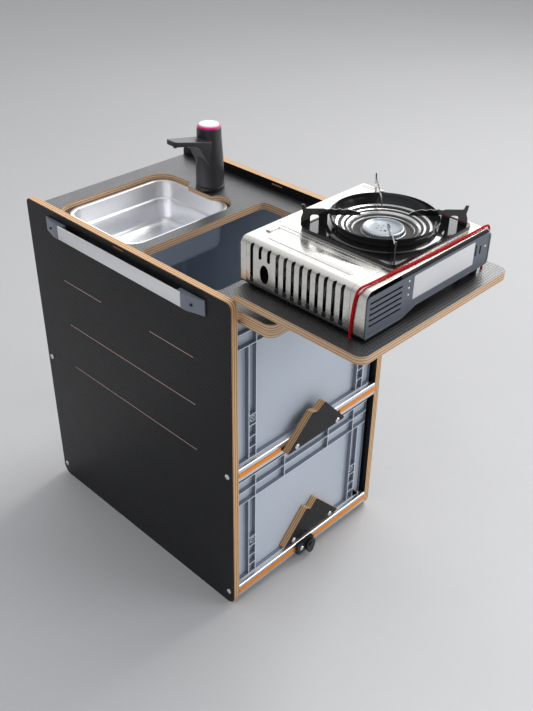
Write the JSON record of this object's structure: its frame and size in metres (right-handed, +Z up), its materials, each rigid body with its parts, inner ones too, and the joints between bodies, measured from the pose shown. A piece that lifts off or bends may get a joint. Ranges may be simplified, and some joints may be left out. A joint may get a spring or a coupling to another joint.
{
  "type": "campervan kitchen pod",
  "caption": "Narrow ply kitchen pod on slotted rails with stacking-box drawers, sunk sink pan, bin opening, pump tap and a gas stove on a swivelling board.",
  "frame": {"origin": "centre of the pod's footprint box on the ground", "axes": "+Z up, -Y the front with the boxes and the stove board, +X to the right seen from the front"},
  "size_m": [0.464, 0.878, 0.872],
  "materials": {
    "ply_black": "black film-faced birch ply with bare edges",
    "aluminium": "anodised, satin",
    "steel": "brushed",
    "bolt": "bright zinc",
    "orange": "matte",
    "box_grey": "matte moulded",
    "grey_plastic": "matte",
    "black_plastic": "matte",
    "tap_grey": "soft matte",
    "pink": "translucent, gloss",
    "white": "gloss",
    "stove_sheet": "bright rolled steel sheet",
    "stove_grey": "satin",
    "enamel": "gloss enamel",
    "cartridge": "gloss",
    "red": "braided elastic cord"
  },
  "bodies": {
    "pod": {"left_side_panel": "ply_black", "right_side_panel": "ply_black", "worktop": "ply_black", "nose_doubler": "ply_black", "upper_stop_plate": "ply_black", "rail_front_bottom": "aluminium", "rail_rear_bottom": "aluminium", "rail_front_middle": "aluminium", "rail_rear_middle": "aluminium", "handle_bar_left": "aluminium", "handle_bar_right": "aluminium", "slot_cover_middle_left": "orange", "slot_cover_middle_right": "orange", "slot_cover_bottom_left": "orange", "slot_cover_bottom_right": "orange", "panel_bolt_left_front_bottom": "bolt", "panel_bolt_right_front_bottom": "bolt", "panel_bolt_left_rear_bottom": "bolt", "panel_bolt_right_rear_bottom": "bolt", "panel_bolt_left_front_middle": "bolt", "panel_bolt_right_front_middle": "bolt", "panel_bolt_left_rear_middle": "bolt", "panel_bolt_right_rear_middle": "bolt", "stop_plate_bolt_left": "bolt", "stop_plate_bolt_right": "bolt", "catch_bolt": "bolt", "pivot_bolt": "bolt", "pivot_nut": "bolt", "handle_cap_left_front": "grey_plastic", "handle_cap_left_rear": "grey_plastic", "handle_cap_right_front": "grey_plastic", "handle_cap_right_rear": "grey_plastic", "catch_base": "black_plastic", "tap_base": "black_plastic", "tap_nut": "black_plastic", "swivel_base": "steel", "tap_body": "tap_grey", "tap_light_ring": "pink"},
    "upper_box": {"upper_box": "box_grey"},
    "lower_box": {"lower_box": "box_grey", "lower_pull_plate": "ply_black", "pull_plate_screw_left": "bolt", "pull_plate_screw_right": "bolt"},
    "turn_catch": {"catch_lobe": "black_plastic"},
    "sink_pan": {"sink_pan": "steel"},
    "tap_button": {"tap_button": "white"},
    "stove_board": {"stove_board": "ply_black", "swivel_plate": "steel", "stove_body": "black_plastic", "stove_skin": "stove_sheet", "stove_end_panel": "stove_grey", "stove_control_panel": "stove_grey", "burner_head": "steel", "burner_bowl": "steel", "gas_cartridge": "cartridge", "elastic_cord": "red"},
    "cartridge_lid": {"cartridge_lid": "stove_sheet"},
    "drip_tray": {"drip_tray": "enamel"},
    "control_knob": {"control_knob": "black_plastic"},
    "cartridge_lever": {"cartridge_lever": "black_plastic"}
  },
  "joints": [
    {"name": "upper_box_play", "type": "slide", "parent": "pod", "child": "upper_box", "axis": [0, -1, 0], "range_m": [0, 0.0085]},
    {"name": "lower_box_slide", "type": "slide", "parent": "pod", "child": "lower_box", "axis": [0, -1, 0], "range_m": [0, 0.4]},
    {"name": "catch_turn", "type": "hinge", "parent": "pod", "child": "turn_catch", "pos_m": [0.003, -0.1783, 0.032], "axis": [0, -1, 0], "range_deg": [0, 90]},
    {"name": "sink_pan_shift", "type": "slide", "parent": "pod", "child": "sink_pan", "axis": [-1, 0, 0], "range_m": [0, 0.017]},
    {"name": "tap_button_press", "type": "slide", "parent": "pod", "child": "tap_button", "axis": [0, 0, -1], "range_m": [0, 0.0015], "stiffness_N_per_m": 400, "springref_m": -0.002},
    {"name": "board_swivel", "type": "hinge", "parent": "pod", "child": "stove_board", "pos_m": [-0.008, -0.2, 0.73], "axis": [0, 0, 1], "continuous": true},
    {"name": "lid_hinge", "type": "hinge", "parent": "stove_board", "child": "cartridge_lid", "pos_m": [-0.1705, -0.17, 0.7538], "axis": [0, -1, 0], "range_deg": [0, 80]},
    {"name": "drip_tray_lift", "type": "slide", "parent": "stove_board", "child": "drip_tray", "axis": [0, 0, 1], "range_m": [0, 0.06]},
    {"name": "knob_turn", "type": "hinge", "parent": "stove_board", "child": "control_knob", "pos_m": [0.121, -0.1424, 0.792], "axis": [0, 1, 0], "range_deg": [0, 150]},
    {"name": "lever_lift", "type": "slide", "parent": "stove_board", "child": "cartridge_lever", "axis": [0, 0, 1], "range_m": [0, 0.018]}
  ]
}
